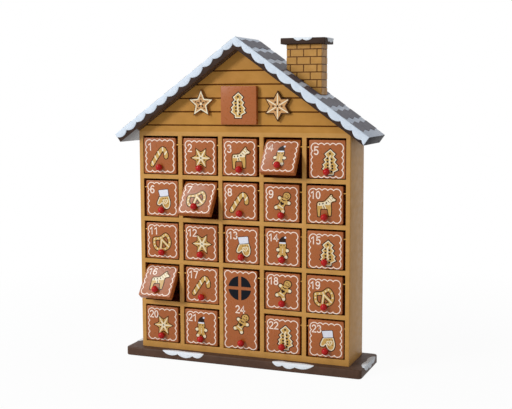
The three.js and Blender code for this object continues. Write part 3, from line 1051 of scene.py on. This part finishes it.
def drape(name, columns, out, reach, look="fresh_snow"):
    """Snow over an edge. Each column is a point on the edge and how far the snow hangs below it.

    Fresh snow lies in heaps that get narrow towards their ends.
    """
    out = Vector(out)
    up = Vector((0, 0, 1))
    mesh = bmesh.new()
    rings = []
    for index, (edge, drop) in enumerate(columns):
        edge = Vector(edge)
        back = reach
        if look == "fresh_snow":
            t = index / (len(columns) - 1)
            back = reach * (0.35 + 0.65 * sin(pi * t)) * (1 + 0.25 * sin(9 * t))
        rim = min(SNOW_RIM, drop * 0.4)
        brow = min(drop, 1.5)
        section = [
            (-back, -SINK), (-back + 0.6, 0.25), (-0.6, 0.3), (0.25, 0.1),
            (SNOW_PROUD * 0.85, -brow * 0.2), (SNOW_PROUD, -brow * 0.5), (SNOW_PROUD, -drop + rim),
            (SNOW_PROUD * 0.8, -drop + rim * 0.4), (SNOW_PROUD * 0.4, -drop + rim * 0.08),
            (-SINK, -drop), (-0.5, -max(drop - 0.4, brow * 0.7)), (-0.8, -brow * 0.3),
        ]
        rings.append([mesh.verts.new((edge + out * a + up * b) * MM) for a, b in section])
    skin(mesh, rings)
    mesh.faces.new(rings[0][::-1])
    mesh.faces.new(rings[-1])
    bmesh.ops.recalc_face_normals(mesh, faces=mesh.faces)
    finish_piece(name, mesh, [LOOKS[look]], "house")


def roof_edge_point(side, down, depth):
    """A point on the roof's front face, as (x, height over the ridge), from its place on one slope."""
    c, s = cos(ROOF_SLOPE), sin(ROOF_SLOPE)
    return side * (down * c - depth * s), -down * s - depth * c


def add_roof_snow():
    low, high = span("roof")
    cusps = [roof_edge_point(-1, *cusp) for cusp in reversed(LEFT_CUSPS)]
    cusps.append(RIDGE_CUSP)
    cusps += [roof_edge_point(1, *cusp) for cusp in RIGHT_CUSPS]
    cut = high.x / cos(ROOF_SLOPE) - 0.1
    line = [roof_edge_point(-1, cut, SNOW_LEAST), roof_edge_point(-1, cut, LEFT_CUSPS[-1][1])]
    for a, b in zip(cusps, cusps[1:]):
        line += scallop(a, b, SCALLOP_BULGE * hypot(b[0] - a[0], b[1] - a[1]))
    last = cusps[-1]
    foot = roof_edge_point(1, cut, RIGHT_END_DEPTH)
    line += [last, ((last[0] + foot[0]) / 2 - 0.2, (last[1] + foot[1]) / 2 - 0.5), foot,
             roof_edge_point(1, cut, SNOW_LEAST)]
    columns = []
    for x, z in line:
        top = -abs(x) * tan(ROOF_SLOPE)
        columns.append(((x, low.y, high.z + top), top - z))
    drape("roof_snow", columns, (0, -1, 0), 2.6, "snow")


def edge_columns(origin, along, cusps, bulge):
    """Columns below a level edge from cusps (way along, drop), with a lobe between each two."""
    line = []
    for a, b in zip(cusps, cusps[1:]):
        line += [(x, -y) for x, y in scallop((a[0], -a[1]), (b[0], -b[1]), bulge)]
    line.append(cusps[-1])
    return [(Vector(origin) + Vector(along) * way, max(drop, SNOW_LEAST)) for way, drop in line]


def add_edge_snow():
    """Heaps of snow over the upper edges of the base plate and the chimney's cap."""
    base_low, base_high = span("base_plate")
    cap_low, cap_high = span("chimney_cap")
    base_front = (0, base_low.y, base_high.z)
    least = SNOW_LEAST
    right, left, back, front = (1, 0, 0), (-1, 0, 0), (0, 1, 0), (0, -1, 0)
    for name, edge, along, out, cusps, bulge, reach in (
        ("base_snow_left", base_front, right, front,
         [(-104.7, least), (-83.5, 3.2), (-62.7, 4.0), (-47.4, least)], 3.6, 6),
        ("base_snow_right", base_front, right, front,
         [(46, least), (58.8, 3.4), (74.8, 4.2), (99, least)], 3.2, 7),
        ("base_snow_end", (base_high.x, 0, base_high.z), back, right,
         [(-26, least), (-5.5, 4.6), (10, 4.2), (26, least)], 3.6, 7),
        ("base_snow_far_end", (base_low.x, 0, base_high.z), front, left,
         [(-31, least), (-11, 3.8), (9, least)], 3.4, 8),
        ("cap_snow_front", (0, cap_low.y, cap_high.z), right, front,
         [(65.6, least), (76.8, 1.6), (89.4, least)], 2.5, 9),
        ("cap_snow_end", (cap_high.x, 0, cap_high.z), back, right,
         [(-10, least), (-1, 4.2), (cap_high.y - 1.5, 1.6)], 2.2, 9),
    ):
        drape(name, edge_columns(edge, along, cusps, bulge), out, reach)


COURSE_HEIGHT = 9.15
BRICK_LENGTH = 16.9
# Height of the joint below the top course, and a joint's x in the second one
FIRST_COURSE_FOOT = 392.4
FRONT_JOINT = 59.6
# From a side's edge to a joint
SIDE_JOINT = 5
MORTAR = 1.3
BRICK_PROUD = 0.35
# Cut bricks that are narrower or smaller than this are left out
BRICK_LEAST_WIDTH = 0.8
BRICK_LEAST_AREA = 1
ROOF_GAP = 0.2


def brick_outlines(start, end, joint, lowest, top):
    """Bricks across a face from start to end, course by course downward until below the lowest."""
    course = 0
    foot = FIRST_COURSE_FOOT
    while top > lowest:
        first = joint + (BRICK_LENGTH / 2 if course % 2 == 0 else 0)
        while first > start:
            first -= BRICK_LENGTH
        while first < end:
            left = max(first + MORTAR / 2, start)
            right = min(first + BRICK_LENGTH - MORTAR / 2, end)
            if right - left > BRICK_LEAST_WIDTH:
                yield [(left, foot + MORTAR / 2), (right, foot + MORTAR / 2), (right, top - MORTAR / 2),
                       (left, top - MORTAR / 2)]
            first += BRICK_LENGTH
        top = foot
        foot -= COURSE_HEIGHT
        course += 1


def add_chimney():
    def upright(a, b):
        return abs(a.z - b.z) > UPRIGHT

    rounded_copy("chimney_stack", upright, ["mortar"])
    low, high = span("chimney_stack")
    slope = tan(ROOF_SLOPE)
    up = Vector((0, 0, 1))
    directions = {"front": (1, 0, 0), "right": (0, 1, 0), "back": (-1, 0, 0), "left": (0, -1, 0)}
    for name, across in directions.items():
        across = Vector(across)
        outward = across.cross(up)
        relief = Relief(face_at(outward * max(outward.dot(low), outward.dot(high)), across, up))
        start, end = sorted((across.dot(low), across.dot(high)))
        joint = across.x * FRONT_JOINT if across.x else start + SIDE_JOINT
        # Where the roof meets this side
        x = high.x if outward.x > 0 else low.x
        foot = (across.x * x, low.z + (high.x - x) * slope + ROOF_GAP)
        for brick in brick_outlines(start, end, joint, low.z, high.z):
            brick = clipped(brick, foot, (across.x * slope, 1))
            if len(brick) > 2 and abs(signed_area(brick)) > BRICK_LEAST_AREA:
                relief.plate(brick, "brick", BRICK_PROUD)
        relief.finish(f"chimney_bricks_{name}")


# Floor, light and camera

# How white the floor is seen, 1 being pure white, near the object and far away from it
NEAR_WHITE = 0.95
FAR_WHITE = 1
NEAR_METRES = 0.3
FAR_METRES = 0.75
FLOOR_HALF_METRES = 4
LAMPS_AIM_METRES = (0, 0, 0.2)
# How bright the world is as light. Seen directly or in a mirror its strength is 1.
WORLD_LIGHT = 0.36


def new_object(name, data):
    made = bpy.data.objects.new(name, data)
    bpy.context.scene.collection.objects.link(made)
    return made


def seen_directly(nodes, links):
    """1 for rays that come from the camera, a mirror or glass, and 0 for those that carry light."""
    path = nodes.new("ShaderNodeLightPath")
    seen = path.outputs["Is Camera Ray"]
    for ray in ("Is Glossy Ray", "Is Transmission Ray"):
        either = nodes.new("ShaderNodeMath")
        either.operation = "MAXIMUM"
        links.new(seen, either.inputs[0])
        links.new(path.outputs[ray], either.inputs[1])
        seen = either.outputs["Value"]
    return seen


def add_floor():
    half = FLOOR_HALF_METRES
    data = bpy.data.meshes.new("floor")
    data.from_pydata([(-half, -half, 0), (half, -half, 0), (half, half, 0), (-half, half, 0)], [],
                     [(0, 1, 2, 3)])
    floor = new_object("floor", data)
    made = Shader("pale floor")
    nodes, links = made.nodes, made.links
    made.shader.inputs["Base Color"].default_value = rgba((235, 235, 235))
    made.shader.inputs["Roughness"].default_value = 0.8
    made.shader.inputs["Specular IOR Level"].default_value = 0.1
    distance = nodes.new("ShaderNodeVectorMath")
    distance.operation = "LENGTH"
    links.new(made.where, distance.inputs[0])
    white = made.remap(distance.outputs["Value"], NEAR_METRES, FAR_METRES, NEAR_WHITE, FAR_WHITE)
    share = nodes.new("ShaderNodeMath")
    share.operation = "MULTIPLY"
    links.new(seen_directly(nodes, links), share.inputs[0])
    links.new(white, share.inputs[1])
    glow = nodes.new("ShaderNodeEmission")
    blend = nodes.new("ShaderNodeMixShader")
    links.new(share.outputs["Value"], blend.inputs["Fac"])
    links.new(made.shader.outputs["BSDF"], blend.inputs[1])
    links.new(glow.outputs["Emission"], blend.inputs[2])
    links.new(blend.outputs["Shader"], nodes["Material Output"].inputs["Surface"])
    data.materials.append(made.material)


def add_lamp(name, at, size, power, colour=(1, 1, 1)):
    """A round soft lamp. Its place and size are in metres, and its power in watts."""
    data = bpy.data.lights.new(name, "AREA")
    data.shape = "DISK"
    data.size = size
    data.energy = power
    data.color = colour
    lamp = new_object(name, data)
    lamp.location = at
    lamp.rotation_euler = (Vector(LAMPS_AIM_METRES) - Vector(at)).to_track_quat("-Z", "Y").to_euler()


def add_world():
    world = bpy.data.worlds.new("studio")
    world.use_nodes = True
    bpy.context.scene.world = world
    nodes = world.node_tree.nodes
    links = world.node_tree.links
    background = nodes["Background"]
    background.inputs["Color"].default_value = (1, 1, 1, 1)
    strength = nodes.new("ShaderNodeMapRange")
    strength.inputs["To Min"].default_value = WORLD_LIGHT
    links.new(seen_directly(nodes, links), strength.inputs["Value"])
    links.new(strength.outputs["Result"], background.inputs["Strength"])


def add_camera():
    data = bpy.data.cameras.new("camera")
    data.sensor_width = SENSOR_WIDTH
    data.lens = FOCAL_PIXELS / PHOTO_WIDTH * SENSOR_WIDTH
    data.clip_start = 0.01
    camera = new_object("camera", data)
    forward = Vector((-sin(CAMERA_YAW) * cos(CAMERA_PITCH), cos(CAMERA_YAW) * cos(CAMERA_PITCH),
                      -sin(CAMERA_PITCH)))
    level = Vector((cos(CAMERA_YAW), sin(CAMERA_YAW), 0))
    upward = level.cross(forward)
    right = level * cos(CAMERA_ROLL) + upward * sin(CAMERA_ROLL)
    up = upward * cos(CAMERA_ROLL) - level * sin(CAMERA_ROLL)
    turned = Matrix((right, up, -forward)).transposed().to_4x4()
    camera.matrix_world = Matrix.Translation(Vector(CAMERA_AT) * MM) @ turned
    bpy.context.scene.camera = camera


remove_start_objects()
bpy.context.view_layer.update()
bpy.context.scene.view_settings.view_transform = "Standard"
LOOKS = make_materials()
add_boards()
add_plates()
add_stars()
add_roof()
add_roof_snow()
add_edge_snow()
add_chimney()
for number, height, body, play, place in door_frames():
    add_door(number, height, body, play, place)
add_floor()
add_world()
add_lamp("key light", (-1.35, -1.8, 1.1), size=0.6, power=28)
add_lamp("overhead light", (-0.98, -0.87, 1.8), size=0.72, power=10, colour=(0.84, 0.97, 1))
add_camera()
bpy.context.view_layer.update()
